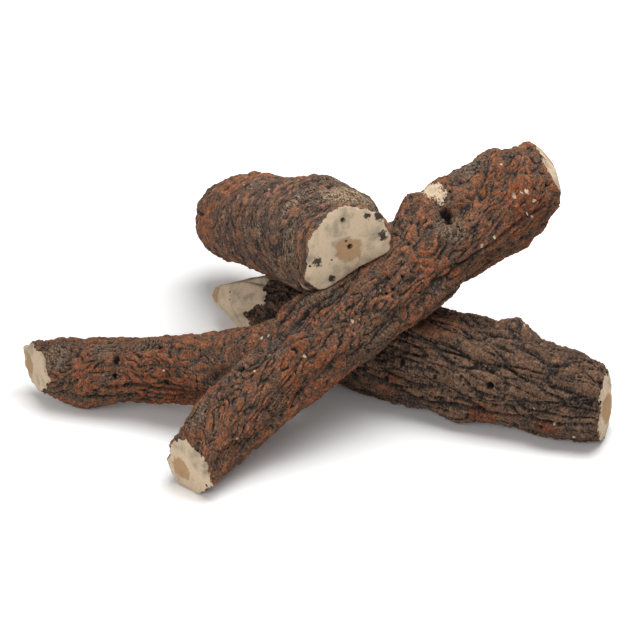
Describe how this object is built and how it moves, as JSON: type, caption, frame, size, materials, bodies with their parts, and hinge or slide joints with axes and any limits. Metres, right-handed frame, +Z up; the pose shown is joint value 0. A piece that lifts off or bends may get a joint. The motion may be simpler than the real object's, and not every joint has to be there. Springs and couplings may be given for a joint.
{
  "type": "gas log set",
  "caption": "Gas fireplace log set: a forked cast log leans over a rear log and carries a top log, all loose castings with steel reinforcing rods inside.",
  "frame": {"origin": "centre of the set's box, on the hearth", "axes": "+X to the right along the set's width, +Y to the back of the fireplace, +Z up"},
  "size_m": [0.46, 0.3766, 0.1874],
  "materials": {
    "front_bark": "matte cast bark, burnt orange ridges over charcoal",
    "rear_bark": "matte cast bark, dark brown flaky furrows",
    "top_bark": "matte cast bark, fine brown strokes with a bare cream cut face",
    "rod_steel": "plain drawn bar"
  },
  "bodies": {
    "rear": {"rear_log": "rear_bark", "rear_rod": "rod_steel"},
    "front": {"forked_front_log": "front_bark", "trunk_rod": "rod_steel", "branch_rod": "rod_steel"},
    "top": {"top_log": "top_bark", "top_rod": "rod_steel"}
  },
  "joints": [
    {"name": "front_log_lift", "type": "slide", "parent": "rear", "child": "front", "axis": [0, 0, 1], "range_m": [0, 0.1]},
    {"name": "top_log_lift", "type": "slide", "parent": "front", "child": "top", "axis": [0, 0, 1], "range_m": [0, 0.16]}
  ]
}
